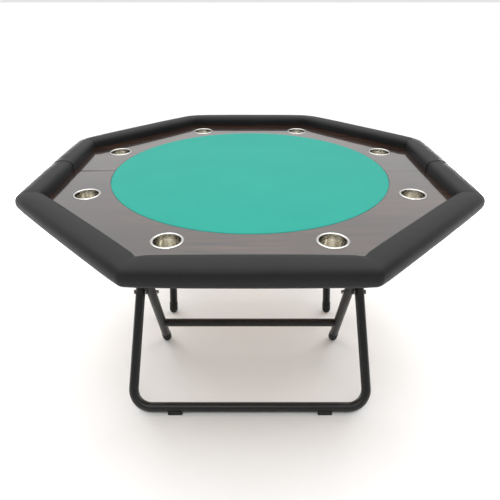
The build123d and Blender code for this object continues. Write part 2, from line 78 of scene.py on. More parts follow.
class Graph:
    """A material's node tree, with short calls for the nodes that the materials here share."""

    def __init__(self, name):
        self.material = bpy.data.materials.new(name)
        self.material.use_nodes = True
        self.tree = self.material.node_tree
        self.shader = self.tree.nodes["Principled BSDF"]

    def node(self, kind, **values):
        made = self.tree.nodes.new(kind)
        for key, value in values.items():
            if hasattr(made, key):
                setattr(made, key, value)
            else:
                made.inputs[key.replace("_", " ")].default_value = value
        return made

    def link(self, out, into):
        self.tree.links.new(out, into)

    def place(self, stretch=(1, 1, 1)):
        """Object coordinates, so that a pattern moves with its piece, stretched along each axis."""
        coordinates = self.node("ShaderNodeTexCoord")
        mapping = self.node("ShaderNodeMapping")
        mapping.inputs["Scale"].default_value = stretch
        self.link(coordinates.outputs["Object"], mapping.inputs["Vector"])
        return mapping.outputs["Vector"]

    def noise(self, at, scale, detail=3.0, roughness=0.5, distortion=0.0):
        made = self.node("ShaderNodeTexNoise")
        made.inputs["Scale"].default_value = scale
        made.inputs["Detail"].default_value = detail
        made.inputs["Roughness"].default_value = roughness
        made.inputs["Distortion"].default_value = distortion
        self.link(at, made.inputs["Vector"])
        return made.outputs["Fac"]

    def voronoi(self, at, scale, feature="F1", randomness=1.0):
        made = self.node("ShaderNodeTexVoronoi")
        made.feature = feature
        made.inputs["Scale"].default_value = scale
        made.inputs["Randomness"].default_value = randomness
        self.link(at, made.inputs["Vector"])
        return made.outputs["Distance"]

    def spread(self, value, low, high, new_low=0.0, new_high=1.0):
        """Map a value from one span to another, clamped."""
        made = self.node("ShaderNodeMapRange")
        for socket, number in zip(RANGE_SOCKETS, (low, high, new_low, new_high)):
            made.inputs[socket].default_value = number
        self.link(value, made.inputs["Value"])
        return made.outputs["Result"]

    def math(self, operation, first, second):
        made = self.node("ShaderNodeMath", operation=operation)
        for socket, value in zip(made.inputs, (first, second)):
            if isinstance(value, (int, float)):
                socket.default_value = value
            else:
                self.link(value, socket)
        return made.outputs["Value"]

    def mix(self, factor, first, second, blend="MIX"):
        """Mix two colours, each an RGB tuple or a socket."""
        made = self.node("ShaderNodeMix", data_type="RGBA", blend_type=blend)
        if isinstance(factor, (int, float)):
            made.inputs["Factor"].default_value = factor
        else:
            self.link(factor, made.inputs["Factor"])
        for socket, value in ((made.inputs["A"], first), (made.inputs["B"], second)):
            if isinstance(value, tuple):
                socket.default_value = (*value, 1)
            else:
                self.link(value, socket)
        return made.outputs["Result"]

    def bump(self, height, strength, distance, under=None):
        made = self.node("ShaderNodeBump")
        made.inputs["Strength"].default_value = strength
        made.inputs["Distance"].default_value = distance
        self.link(height, made.inputs["Height"])
        if under is not None:
            self.link(under, made.inputs["Normal"])
        return made.outputs["Normal"]

    def surface(self, colour=None, roughness=None, normal=None, coat_normal=None, **constants):
        """Connect what varies, and set what doesn't on the shader's own sockets."""
        varying = {
            "Base Color": colour,
            "Roughness": roughness,
            "Normal": normal,
            "Coat Normal": coat_normal,
        }
        for socket, value in varying.items():
            if value is None:
                continue
            if isinstance(value, (int, float)):
                self.shader.inputs[socket].default_value = value
            elif isinstance(value, tuple):
                self.shader.inputs[socket].default_value = (*value, 1)
            else:
                self.link(value, self.shader.inputs[socket])
        for key, value in constants.items():
            self.shader.inputs[key.replace("_", " ")].default_value = value
        return self.material


def new_piece(name, vertices, faces, material, body, smooth=True, at=(0, 0, 0)):
    """A mesh piece that rides on a body, with its normals made consistent."""
    mesh = bpy.data.meshes.new(name)
    mesh.from_pydata([tuple(v) for v in vertices], [], faces)
    shape = bmesh.new()
    shape.from_mesh(mesh)
    bmesh.ops.recalc_face_normals(shape, faces=shape.faces)
    for face in shape.faces:
        face.smooth = smooth
    shape.to_mesh(mesh)
    shape.free()
    piece = bpy.data.objects.new(name, mesh)
    piece.location = at
    bpy.context.collection.objects.link(piece)
    mesh.materials.append(material)
    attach(piece, body)
    return piece


def on_circle(radius, degrees):
    angle = math.radians(degrees)
    return Vector((radius * math.cos(angle), radius * math.sin(angle)))


def arc(centre, radius, start, end, count):
    """Points on an arc, both ends included, with angles in degrees."""
    steps = [start + (end - start) * i / (count - 1) for i in range(count)]
    return [Vector(centre) + on_circle(radius, step) for step in steps]


def lathe(profile, count):
    """Vertices and faces of a profile (radius, height) turned about the local Z axis.

    A first or last point on the axis becomes one shared vertex.
    """
    vertices, rings = [], []
    for radius, height in profile:
        if radius < 1e-7:
            rings.append([len(vertices)] * count)
            vertices.append((0, 0, height))
            continue
        rings.append([len(vertices) + i for i in range(count)])
        for i in range(count):
            x, y = on_circle(radius, 360 * i / count)
            vertices.append((x, y, height))
    faces = []
    for low, high in zip(rings, rings[1:]):
        for i in range(count):
            j = (i + 1) % count
            corners = [low[i], low[j], high[j], high[i]]
            faces.append(list(dict.fromkeys(corners)))
    return vertices, faces


# ---------------------------------------------------------------- materials


def vinyl_material():
    """Black upholstery vinyl: a fine pebbled grain over soft, slightly uneven foam."""
    g = Graph("black_vinyl")
    at = g.place()
    pebbles = g.voronoi(at, 900, feature="SMOOTH_F1")
    creases = g.noise(at, 420, detail=4, roughness=0.6)
    unevenness = g.noise(at, 14, detail=2)
    handling = g.noise(at, 5, detail=5, roughness=0.65)
    soft = g.bump(unevenness, 0.35, 3.0 * MM)
    grain = g.bump(pebbles, 0.30, 0.12 * MM, under=soft)
    fine = g.bump(creases, 0.25, 0.10 * MM, under=grain)
    colour = g.mix(g.spread(handling, 0.35, 0.7), (0.0135, 0.0135, 0.0139), (0.0185, 0.0185, 0.0191))
    roughness = g.spread(handling, 0.3, 0.75, 0.44, 0.54)
    return g.surface(colour, roughness, fine, Specular_IOR_Level=0.17, IOR=1.46)


def veneer_material():
    """Espresso wood veneer with its grain along the seam, under a clear gloss lacquer."""
    g = Graph("dark_veneer")
    grain_at = g.place((1, 16, 16))
    pore_at = g.place((3, 130, 130))
    at = g.place()
    bands = g.noise(grain_at, 4.5, detail=6, roughness=0.62, distortion=0.6)
    pores = g.noise(pore_at, 9, detail=3, roughness=0.55)
    plank = g.noise(at, 3.5, detail=2)
    dark = g.mix(g.spread(bands, 0.36, 0.66), (0.0080, 0.0036, 0.0024), (0.0600, 0.0285, 0.0175))
    shaded = g.mix(g.spread(plank, 0.35, 0.7), dark, (0.0130, 0.0060, 0.0042))
    flecked = g.mix(g.spread(pores, 0.60, 0.74, 0.0, 0.8), shaded, (0.0040, 0.0020, 0.0015))
    waves = g.noise(at, 26, detail=2)
    sags = g.noise(g.place((1, 6, 6)), 60, detail=4, roughness=0.6)
    lacquer = g.bump(sags, 0.08, 0.06 * MM, under=g.bump(waves, 0.04, 0.6 * MM))
    open_grain = g.bump(pores, 0.30, 0.12 * MM, under=lacquer)
    roughness = g.spread(pores, 0.4, 0.75, 0.16, 0.30)
    return g.surface(
        flecked,
        roughness,
        open_grain,
        lacquer,
        IOR=1.45,
        Specular_IOR_Level=0.12,
        Coat_Weight=1.0,
        Coat_Roughness=0.015,
        Coat_IOR=1.85,
    )


def felt_material():
    """Turquoise speed cloth: short fibres with a slight cross weave and a soft sheen."""
    g = Graph("felt")
    at = g.place()
    fibres = g.noise(g.place((1, 5, 1)), 520, detail=4, roughness=0.7)
    across = g.noise(g.place((5, 1, 1)), 520, detail=4, roughness=0.7)
    mottling = g.noise(at, 7, detail=4, roughness=0.6)
    nap = g.math("ADD", fibres, across)
    base = g.mix(g.spread(mottling, 0.3, 0.7), (0.013, 0.230, 0.178), (0.0175, 0.257, 0.202))
    colour = g.mix(g.spread(nap, 0.75, 1.25), base, (0.027, 0.305, 0.246))
    normal = g.bump(nap, 0.35, 0.35 * MM)
    return g.surface(
        colour,
        0.95,
        normal,
        Specular_IOR_Level=0.15,
        Sheen_Weight=0.25,
        Sheen_Roughness=0.45,
        Sheen_Tint=(0.5, 1.0, 0.92, 1),
    )


def steel_material(name, shine):
    """Stainless steel with the fine upright lines of drawing, and painted light and dark streaks of
    reflection in the drawn finish's colour. Shine is from 0, drawn, to 1, polished.
    """
    g = Graph(name)
    drawn = g.noise(g.place((1, 1, 0.02)), 130, detail=3, roughness=0.5)
    cloud = g.noise(g.place((1, 1, 0.3)), 38, detail=3)
    # The drawn noise makes real drawing lines in the bump. In the colour its pale and dark streaks are
    # painted reflection, up to far brighter than the steel itself.
    drawn_colour_with_painted_streaks = g.mix(g.spread(drawn, 0.38, 0.64), (0.60, 0.575, 0.51), (0.90, 0.875, 0.80))
    bright = g.mix(g.spread(cloud, 0.3, 0.7), (0.50, 0.49, 0.465), (0.60, 0.59, 0.565))
    colour = g.mix(shine, drawn_colour_with_painted_streaks, bright)
    roughness = g.spread(cloud, 0.3, 0.7, 0.20 - 0.08 * shine, 0.30 - 0.14 * shine)
    normal = g.bump(drawn, 0.04 * (1 - shine) + 0.02, 0.10 * MM)
    return g.surface(colour, roughness, normal, Metallic=1.0)


def powder_coat_material():
    """Satin black powder coat on steel tube, with its faint orange peel."""
    g = Graph("black_tube")
    at = g.place()
    peel = g.noise(at, 650, detail=2)
    broad = g.noise(at, 60, detail=3)
    first = g.bump(broad, 0.10, 0.4 * MM)
    normal = g.bump(peel, 0.22, 0.12 * MM, under=first)
    colour = g.mix(g.spread(broad, 0.3, 0.7), (0.0095, 0.0095, 0.0098), (0.0135, 0.0135, 0.0138))
    roughness = g.spread(broad, 0.3, 0.7, 0.30, 0.38)
    return g.surface(colour, roughness, normal, Specular_IOR_Level=0.42)


def plywood_material():
    """Birch plywood: rotary-cut face grain, with its plies showing at an edge."""
    g = Graph("plywood")
    at = g.place()
    figure = g.noise(g.place((1.2, 9, 9)), 5, detail=6, roughness=0.6, distortion=1.4)
    fine = g.noise(g.place((4, 60, 60)), 14, detail=4, roughness=0.6)
    height = g.node("ShaderNodeSeparateXYZ")
    g.link(at, height.inputs["Vector"])
    ply = g.math("PINGPONG", height.outputs["Z"], 1.5 * MM)
    plies = g.spread(ply, 0.5 * MM, 1.0 * MM)
    normal_at = g.node("ShaderNodeNewGeometry")
    facing = g.node("ShaderNodeSeparateXYZ")
    g.link(normal_at.outputs["True Normal"], facing.inputs["Vector"])
    edge = g.spread(g.math("ABSOLUTE", facing.outputs["Z"], 0.0), 0.5, 0.8, 1.0, 0.0)
    face = g.mix(g.spread(figure, 0.35, 0.68), (0.40, 0.27, 0.155), (0.56, 0.40, 0.25))
    streaked = g.mix(g.spread(fine, 0.45, 0.75, 0.0, 0.5), face, (0.33, 0.21, 0.115))
    layered = g.mix(plies, (0.30, 0.19, 0.10), (0.58, 0.42, 0.26))
    colour = g.mix(edge, streaked, layered)
    normal = g.bump(fine, 0.2, 0.25 * MM)
    return g.surface(colour, 0.62, normal, Specular_IOR_Level=0.3)


def zinc_material():
    """Bright zinc plating with a faint spangle."""
    g = Graph("zinc_steel")
    at = g.place()
    spangle = g.voronoi(at, 320)
    wear = g.noise(at, 90, detail=5, roughness=0.65)
    colour = g.mix(g.spread(spangle, 0.1, 0.8), (0.16, 0.163, 0.17), (0.26, 0.26, 0.265))
    roughness = g.spread(wear, 0.35, 0.7, 0.24, 0.44)
    return g.surface(colour, roughness, g.bump(wear, 0.1, 0.05 * MM), Metallic=1.0)


def moulded_material(name, colour, rough, texture_size):
    """Moulded rubber or plastic: a fine spark texture and slight scuffs."""
    g = Graph(name)
    at = g.place()
    texture = g.noise(at, 1 / texture_size, detail=3, roughness=0.6)
    scuffs = g.noise(at, 70, detail=6, roughness=0.7)
    lighter = tuple(1.9 * c for c in colour)
    mixed = g.mix(g.spread(scuffs, 0.5, 0.8, 0.0, 0.7), colour, lighter)
    roughness = g.spread(scuffs, 0.3, 0.75, rough - 0.06, rough + 0.10)
    return g.surface(mixed, roughness, g.bump(texture, 0.3, 0.15 * MM), Specular_IOR_Level=0.35)


MATERIALS = {
    "plywood": plywood_material(),
    "dark_veneer": veneer_material(),
    "black_vinyl": vinyl_material(),
    "cup_steel": steel_material("cup_steel", shine=0.0),
    "felt": felt_material(),
    "black_tube": powder_coat_material(),
    "zinc_steel": zinc_material(),
    "black_rubber": moulded_material("black_rubber", (0.013, 0.013, 0.013), 0.62, 0.9 * MM),
    "black_plastic": moulded_material("black_plastic", (0.016, 0.016, 0.017), 0.40, 1.3 * MM),
}
POLISHED_STEEL = steel_material("cup_rim_steel", shine=1.0)


def dress_cad_nodes():
    """Give each CAD node the material of its slot in the record."""
    for subpart in frame["record"]["subparts"]:
        mesh = frame["nodes"][subpart["node"]].data
        mesh.materials.clear()
        mesh.materials.append(MATERIALS[subpart["material_slot"]])


# ---------------------------------------------------------------- padded rail

RAIL_END_GAP = 0.25 * MM
RAIL_FOOT_RADIUS = 22.0 * MM
END_ROUNDING = 7.0 * MM
END_PINCH = 2.2 * MM
END_PINCH_REACH = 5.0 * MM
END_DIP = 1.4 * MM
END_DIP_FROM_SEAM = 26.0 * MM
END_DIP_REACH = 12.0 * MM
SIDE_BULGE = 2.2 * MM
CORNER_TUCK = 2.4 * MM
CORNER_TUCK_REACH = 9.0 * MM
CROWN_RISE = 3.4 * MM
FACE_SWELL = 0.6 * MM
RIPPLE = 0.5 * MM
HEM_WIDTH = 31 * MM
DECK_CLEARANCE = 0.2 * MM
SIDE_STEPS = 22
CORNER_STEPS = 8
INNER_CORNER_RADIUS = 2.5 * MM
OUTER_CORNER_RADIUS = 17.0 * MM
SEAM_STEPS = (0, 0.05, 0.15, 0.35, 0.7, 1.2, 2.0, 3.2, 5.0, 8.0, 12.0)
COVER_SEEDS = {"front": 3.7, "back": 11.3}


def rail_section():
    """The rail's closed outline as (apothem, height, soft) points, from its inner foot over the top.

    Soft points are vinyl over foam. The rest lie on the deck, round its edge, and never show.
    """
    inner = RAIL_INNER
    outer = RAIL_OUTER
    top = RAIL_TOP
    shoulder = arc((inner + 17 * MM, top - 18.5 * MM), 17.2 * MM, 180, 98, 8)
    crest = arc((outer - 23 * MM, top - 26 * MM), 23.2 * MM, 70, 4, 10)
    foot_centre = (outer - RAIL_FOOT_RADIUS, RAIL_BOTTOM + RAIL_FOOT_RADIUS)
    foot = arc(foot_centre, RAIL_FOOT_RADIUS, -4, -86, 8)
    start, end = shoulder[-1], crest[0]
    crown = []
    for i in range(1, 9):
        t = i / 9
        rise = CROWN_RISE * 4 * t * (1 - t)
        crown.append(start.lerp(end, t) + Vector((0, rise)))
    face = []
    for i in range(1, 6):
        t = i / 6
        swell = FACE_SWELL * 4 * t * (1 - t)
        face.append(crest[-1].lerp(foot[0], t) + Vector((swell, 0)))
    inside = [
        Vector((inner + 0.2 * MM, TRACK_TOP - 3 * MM)),
        Vector((inner - 0.2 * MM, TRACK_TOP + 6 * MM)),
    ]
    soft = [*inside, *shoulder, *crown, *crest, *face, *foot]
    hem = DECK_EDGE - HEM_WIDTH
    hidden = [
        Vector((hem, RAIL_BOTTOM)),
        Vector((hem, DECK_BOTTOM - DECK_CLEARANCE)),
        Vector((DECK_EDGE + DECK_CLEARANCE, DECK_BOTTOM - DECK_CLEARANCE)),
        Vector((DECK_EDGE + DECK_CLEARANCE, TRACK_BOTTOM + DECK_CLEARANCE)),
        Vector((inner + 2 * DECK_CLEARANCE, TRACK_BOTTOM + DECK_CLEARANCE)),
    ]
    return [(p.x, p.y, True) for p in soft] + [(p.x, p.y, False) for p in hidden]


def outward_normals(section):
    """The outward normal at each soft point of the section, from its two neighbours."""
    normals = []
    for i, (_, _, soft) in enumerate(section):
        if not soft:
            normals.append(Vector((0, 0)))
            continue
        before = section[i - 1] if i else section[0]
        after = section[i + 1]
        along = Vector((after[0] - before[0], after[1] - before[1]))
        normals.append(Vector((-along.y, along.x)).normalized())
    return normals


def corner_radius(apothem):
    """The rail's plan corners are tight at the racetrack and rounder at the outer edge."""
    t = min(1, max(0, (apothem - RAIL_INNER) / (RAIL_OUTER - RAIL_INNER)))
    return INNER_CORNER_RADIUS + (OUTER_CORNER_RADIUS - INNER_CORNER_RADIUS) * t ** 1.6


def rail_stations():
    """Stations along half the rail: (side or None, share along it, corner, step in the corner)."""
    stations = []
    for side in range(len(CORNER_BISECTORS) + 1):
        shares = [i / SIDE_STEPS for i in range(SIDE_STEPS + 1)]
        half_length = (RAIL_OUTER + RAIL_INNER) / 2 * math.tan(math.radians(HALF_CORNER))
        near_seam = [END_ROUNDING * step / half_length for step in SEAM_STEPS]
        if side == 0:
            shares = near_seam + [s for s in shares if s > near_seam[-1]]
        if side == len(CORNER_BISECTORS):
            shares = [1 - s for s in reversed(near_seam + [s for s in shares if s > near_seam[-1]])]
        stations += [("side", side, share) for share in shares]
        if side < len(CORNER_BISECTORS):
            stations += [("corner", side, step / CORNER_STEPS) for step in range(1, CORNER_STEPS)]
    return stations


def corner_point(apothem, corner, angle):
    """A point on the rounded corner of the octagon at that apothem, where its normal has that angle."""
    radius = corner_radius(apothem)
    distance = (apothem - radius) / math.cos(math.radians(HALF_CORNER))
    return on_circle(distance, CORNER_BISECTORS[corner]) + on_circle(radius, angle)


def station_point(station, apothem):
    """Where a section point at that apothem comes at the station, and the normal's angle there."""
    kind, index, share = station
    if kind == "corner":
        angle = CORNER_BISECTORS[index] + HALF_CORNER * (2 * share - 1)
        return corner_point(apothem, index, angle), angle
    angle = -180 + 45 * index
    first = Vector((-apothem, -RAIL_END_GAP))
    last = Vector((apothem, -RAIL_END_GAP))
    if index > 0:
        first = corner_point(apothem, index - 1, angle)
    if index < len(CORNER_BISECTORS):
        last = corner_point(apothem, index, angle)
    return first.lerp(last, share), angle


def rail_inset(place, station, apothem, height, seed):
    """How far the vinyl lies inside the plain section.

    It is rounded and dips near the seam, swells along the sides, and tucks in at the corners.
    """
    kind, index, share = station
    from_seam = abs(place.y) - RAIL_END_GAP
    inset = 0.0
    if from_seam < END_ROUNDING:
        inset += END_ROUNDING - math.sqrt(END_ROUNDING**2 - (END_ROUNDING - from_seam) ** 2)
    inset += END_PINCH * math.exp(-from_seam / END_PINCH_REACH)
    inset += END_DIP * math.exp(-(((from_seam - END_DIP_FROM_SEAM) / END_DIP_REACH) ** 2))
    if kind == "side":
        full = 0 < index < len(CORNER_BISECTORS)
        along = share if full else (0.5 + 0.5 * share if index == 0 else 0.5 * share)
        swell = (4 * along * (1 - along)) ** 0.6
        inset -= SIDE_BULGE * swell
    across = (apothem - RAIL_INNER) / (RAIL_OUTER - RAIL_INNER)
    bearing = math.degrees(math.atan2(place.y, place.x))
    bisector = min(CORNER_BISECTORS, key=lambda b: abs(bearing - b))
    normal = on_circle(1, bisector + 90)
    from_corner = abs(place.dot(normal))
    inset += CORNER_TUCK * (1 - 0.75 * across) * math.exp(-((from_corner / CORNER_TUCK_REACH) ** 2))
    ripple = noise.noise(Vector((place.x * 9, place.y * 9, height * 12 + seed)))
    return inset + RIPPLE * ripple


def rail_cover(half):
    """One half of the padded rail: the section carried round its five sides, closed at the seam."""
    section = rail_section()
    normals = outward_normals(section)
    stations = rail_stations()
    vertices = []
    for station in stations:
        for (apothem, height, soft), normal in zip(section, normals):
            place, angle = station_point(station, apothem)
            if soft:
                inset = rail_inset(place, station, apothem, height, COVER_SEEDS[half])
                place = place - on_circle(inset * normal.x, angle)
                height = height - inset * normal.y
            vertices.append((place.x, place.y, height))
    count = len(section)
    faces = []
    for row in range(len(stations) - 1):
        for i in range(count):
            j = (i + 1) % count
            low, high = row * count, (row + 1) * count
            faces.append([low + i, low + j, high + j, high + i])
    faces.append(list(range(count)))
    faces.append(list(range(len(vertices) - count, len(vertices))))
    if half == "back":
        vertices = [(x, -y, z) for x, y, z in vertices]
    vinyl = MATERIALS["black_vinyl"]
    piece = new_piece(f"{half}_rail_cover", vertices, faces, vinyl, f"{half}_half")
    piece.data.set_sharp_from_angle(angle=math.radians(50))
    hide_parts(f"{half}_rail_pad")


# ---------------------------------------------------------------- felt

FELT_THICKNESS = 1.9 * MM
FELT_EDGE_RADIUS = 1.9 * MM
FELT_RINGS = 24
FELT_STEPS = 192


def felt_sheet():
    """The felt, pulled over the board's rim: a thin closed shell with a soft rolled edge."""
    radius = FELT_RADIUS - 0.2 * MM
    edge = FELT_EDGE_RADIUS
    underside = FELT_TOP - FELT_THICKNESS
    outer = [(0, FELT_TOP)]
    outer += [(radius * i / FELT_RINGS, FELT_TOP) for i in range(1, FELT_RINGS)]
    outer += [(p.x, p.y) for p in arc((radius - edge, FELT_TOP - edge), edge, 90, 0, 6)]
    outer += [(radius, FELT_BOARD_BOTTOM + 1.0 * MM)]
    under = [
        (radius - 0.25 * MM, FELT_BOARD_BOTTOM + 0.6 * MM),
        (radius - 0.5 * MM, FELT_BOARD_BOTTOM + 1.0 * MM),
        (radius - 0.5 * MM, underside),
    ]
    under += [(radius * i / FELT_RINGS, underside) for i in range(FELT_RINGS - 1, 0, -1)]
    under += [(0, underside)]
    vertices, faces = lathe(outer + under, FELT_STEPS)
    piece = new_piece("felt_sheet", vertices, faces, MATERIALS["felt"], "felt_panel")
    piece.data.set_sharp_from_angle(angle=math.radians(50))
    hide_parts("felt_cloth")


# ---------------------------------------------------------------- cup holders


CUP_STEPS = 96
CUP_WALL = 0.8 * MM
CUP_FLANGE_WIDTH = 8.0 * MM
CUP_CORNER = 6 * MM
RIM_ROLL = 4.2 * MM
RIM_DEPTH = 6 * MM
BEAD_DEPTH = 13 * MM


def rim_outline(bore, flange, crown):
    """The rolled rim's closed outline, from its foot round the flange and back down the bore."""
    outline = [
        (bore + CUP_WALL, TRACK_TOP - RIM_DEPTH),
        (bore + CUP_WALL, TRACK_TOP),
        (flange - 0.6 * MM, TRACK_TOP),
        (flange, TRACK_TOP + 0.5 * MM),
    ]
    outline += [tuple(p) for p in arc((flange - 4.0 * MM, crown - RIM_ROLL), RIM_ROLL, 28, 150, 12)]
    outline += [
        (bore + 0.25 * MM, TRACK_TOP - 1.2 * MM),
        (bore, TRACK_TOP - 3 * MM),
        (bore, TRACK_TOP - RIM_DEPTH),
    ]
    return outline


def bowl_outline(bore, floor):
    """The bowl's outline, from the middle of its underside, up the outside and down the inside."""
    outside = bore + CUP_WALL
    inner_corner = CUP_CORNER - CUP_WALL
    turn = floor + CUP_CORNER
    bead = TRACK_TOP - BEAD_DEPTH
    outline = [(0, floor), (outside - CUP_CORNER, floor)]
    outline += [tuple(p) for p in arc((outside - CUP_CORNER, turn), CUP_CORNER, -75, 0, 6)]
    outline += [(outside, TRACK_TOP - 6.2 * MM), (bore, TRACK_TOP - 6.2 * MM)]
    outline += [(bore, bead + 2.4 * MM), (bore - 0.5 * MM, bead + 1.4 * MM), (bore - 0.7 * MM, bead)]
    outline += [(bore - 0.5 * MM, bead - 1.4 * MM), (bore, bead - 2.4 * MM)]
    outline += [tuple(p) for p in arc((bore - inner_corner, turn), inner_corner, 0, -75, 6)]
    outline += [(bore - inner_corner, floor + CUP_WALL), (bore * 0.62, floor + CUP_WALL)]
    raised = floor + CUP_WALL + 0.6 * MM
    return outline + [(bore * 0.58, raised), (0, raised)]


def cup_pieces(half, number):
    """A steel cup in two pieces: the drawn bowl, and the polished rolled rim."""
    node = f"{half}_cup_holder_{number}"
    body = f"{half}_half"
    low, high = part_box(node)
    centre = ((low[0] + high[0]) / 2, (low[1] + high[1]) / 2, 0)
    flange = (high[0] - low[0]) / 2
    bore = flange - CUP_FLANGE_WIDTH
    outline = rim_outline(bore, flange, high[2])
    vertices, faces = lathe(outline, CUP_STEPS)
    last = (len(outline) - 1) * CUP_STEPS
    for i in range(CUP_STEPS):
        j = (i + 1) % CUP_STEPS
        faces.append([last + i, last + j, j, i])
    name = f"{half}_cup_rim_{number}"
    rim = new_piece(name, vertices, faces, POLISHED_STEEL, body, at=centre)
    rim.data.set_sharp_from_angle(angle=math.radians(60))
    vertices, faces = lathe(bowl_outline(bore, low[2]), CUP_STEPS)
    name = f"{half}_cup_bowl_{number}"
    bowl = new_piece(name, vertices, faces, MATERIALS["cup_steel"], body, at=centre)
    bowl.data.set_sharp_from_angle(angle=math.radians(40))
    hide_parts(node)


# ---------------------------------------------------------------- small parts

# The front trestle on its right side: radii, then places and directions of its tubes
TUBE = 15.9 * MM
CROSSBAR_TUBE = 15.0 * MM
HINGE_LEVEL = 646.0 * MM
HINGE_FROM_SEAM = 30.0 * MM
LEG_TOP = 352.0 * MM
LEG_DIRECTION = Vector((41.0, -418.0, -628.0)).normalized()
INNER_LEG = 335.0 * MM
INNER_DIRECTION = Vector((0, 145.0, -323.0)).normalized()
CROSSBAR = Vector((0, -139.98 * MM, 126.34 * MM))

WELD_STEPS = 56
WELD_SIDES = 8
WELD_SINK = 0.85 * MM
WELD_STAND_OFF = 0.4 * MM
HINGE_WELD = 1.5 * MM
CROSSBAR_WELD = 1.5 * MM

STAPLE_FROM_DECK_EDGE = 25.0 * MM
STAPLE_SPACING = 46 * MM
STAPLE_FROM_CORNER = 14 * MM
STAPLE_FROM_SEAM = 12 * MM
STAPLE_HALF_WIDTH = 0.6 * MM
STAPLE_LEG = 1.2 * MM
STAPLE_CROWN = ((-5.2, 0), (-4.8, 0.55), (-4.0, 0.8), (4.0, 0.8), (4.8, 0.55), (5.2, 0))
STAPLE_FACES = (
    (0, 2, 4, 6, 8, 10, 12, 13),
    (1, 15, 14, 11, 9, 7, 5, 3),
    (0, 13, 15, 1),
    (10, 11, 14, 12),
    (12, 14, 15, 13),
)

# Painted shade along the slightly open seam: its steps along the racetrack, its width at the felt, and
# its extra width at the rail
SEAM_SHADE_STEPS = 18
SEAM_SHADE_NARROW = 1.0 * MM
SEAM_SHADE_SPREAD = 9.0 * MM
SEAM_CLEARANCE = 0.5 * MM


def bead(name, path, radius, body):
    """A weld bead along a closed path: a thin rope of metal with slight ripples."""
    count, around = len(path), WELD_SIDES
    vertices, faces = [], []
    for i, point in enumerate(path):
        along = (path[(i + 1) % count] - path[i - 1]).normalized()
        side = along.cross(Vector((0.31, 0.17, 0.93))).normalized()
        up = along.cross(side)
        thick = radius * (1 + 0.16 * math.sin(i * 1.9))
        for k in range(around):
            turn = 2 * math.pi * k / around
            vertices.append(point + thick * (math.cos(turn) * side + math.sin(turn) * up))
    for i in range(count):
        for k in range(around):
            j, m = (i + 1) % count, (k + 1) % around
            faces.append([i * around + k, i * around + m, j * around + m, j * around + k])
    new_piece(name, vertices, faces, MATERIALS["black_tube"], body)


def weld_beads(half):
    """Beads where the outer legs meet the hinge tube, and where the crossbar meets the inner legs."""
    flip = Vector((1, -HALVES[half], 1))
    start = Vector((LEG_TOP, -HINGE_FROM_SEAM, HINGE_LEVEL))
    across = Vector((1, 0, 0))
    first = (across - across.dot(LEG_DIRECTION) * LEG_DIRECTION).normalized()
    second = LEG_DIRECTION.cross(first)
    sideways = math.hypot(LEG_DIRECTION.y, LEG_DIRECTION.z)
    bar_across = INNER_DIRECTION.cross(across)
    steps = [2 * math.pi * i / WELD_STEPS for i in range(WELD_STEPS)]
    for name, side in (("left", -1), ("right", 1)):
        mirror = Vector((side, 1, 1)) * flip
        saddle = [
            start
            + LEG_DIRECTION * (TUBE * abs(math.cos(t)) + WELD_STAND_OFF) / sideways
            + (TUBE - WELD_SINK) * (math.cos(t) * first + math.sin(t) * second)
            for t in steps
        ]
        saddle = [point * mirror for point in saddle]
        bead(f"{half}_hinge_weld_{name}", saddle, HINGE_WELD, f"{half}_outer_frame")
        joint = []
        for t in steps:
            depth = math.sqrt(TUBE**2 - (CROSSBAR_TUBE * math.cos(t)) ** 2)
            ring = CROSSBAR_TUBE * (math.cos(t) * bar_across + math.sin(t) * INNER_DIRECTION)
            joint.append(CROSSBAR + Vector((INNER_LEG - depth, 0, 0)) + ring)
        joint = [point * mirror for point in joint]
        bead(f"{half}_crossbar_weld_{name}", joint, CROSSBAR_WELD, f"{half}_inner_frame")


def staples(half):
    """Wire staples that hold the vinyl's hem under the deck, at even steps along each side."""
    apothem = DECK_EDGE - STAPLE_FROM_DECK_EDGE
    seat = RAIL_BOTTOM - 0.15 * MM
    vertices, faces = [], []
    for side in range(len(CORNER_BISECTORS) + 1):
        angle = -180 + 45 * side
        out, along = on_circle(1, angle), on_circle(1, angle + 90)
        reach = apothem * math.tan(math.radians(HALF_CORNER)) - STAPLE_FROM_CORNER
        count = int(2 * reach / STAPLE_SPACING)
        for n in range(count + 1):
            place = out * apothem + along * (2 * reach * n / count - reach)
            if place.y > -STAPLE_FROM_SEAM:
                continue
            tilt = 0.12 * math.sin(7.1 * n + side)
            wire = (along + out * tilt).normalized()
            thick = Vector((-wire.y, wire.x)) * STAPLE_HALF_WIDTH
            base = len(vertices)
            for along_wire, drop in STAPLE_CROWN:
                for edge in (-1, 1):
                    at = place + wire * along_wire * MM + thick * edge
                    vertices.append((at.x, at.y, seat - drop * MM))
            for edge in (-1, 1):
                for along_wire in (STAPLE_CROWN[-1][0], STAPLE_CROWN[0][0]):
                    at = place + wire * along_wire * MM + thick * edge
                    vertices.append((at.x, at.y, seat + STAPLE_LEG))
            for k in range(5):
                a = base + 2 * k
                faces.append([a, a + 1, a + 3, a + 2])
            faces += [[base + corner for corner in face] for face in STAPLE_FACES]
    if half == "back":
        vertices = [(x, -y, z) for x, y, z in vertices]
    zinc = MATERIALS["zinc_steel"]
    new_piece(f"{half}_staples", vertices, faces, zinc, f"{half}_half", smooth=False)


